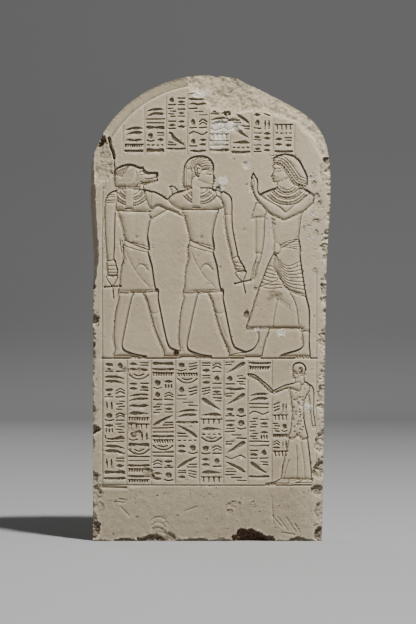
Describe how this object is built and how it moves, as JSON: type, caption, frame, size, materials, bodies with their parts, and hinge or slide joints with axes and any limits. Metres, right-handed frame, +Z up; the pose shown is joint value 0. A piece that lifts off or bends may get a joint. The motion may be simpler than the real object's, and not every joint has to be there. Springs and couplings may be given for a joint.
{
  "type": "carved stone stele",
  "caption": "Round-topped limestone slab with standing figures in sunk relief, rows of shallow strokes below and a plain foot, chipped and broken along the top edge.",
  "frame": {"origin": "middle of the underside, which stands on the plinth", "axes": "+Z up the slab, -Y out of the carved face towards the viewer, +X to the viewer's right"},
  "size_m": [0.571, 0.12, 1.1],
  "materials": {
    "limestone": null
  },
  "bodies": {
    "root": {"stele": "limestone"}
  },
  "joints": []
}
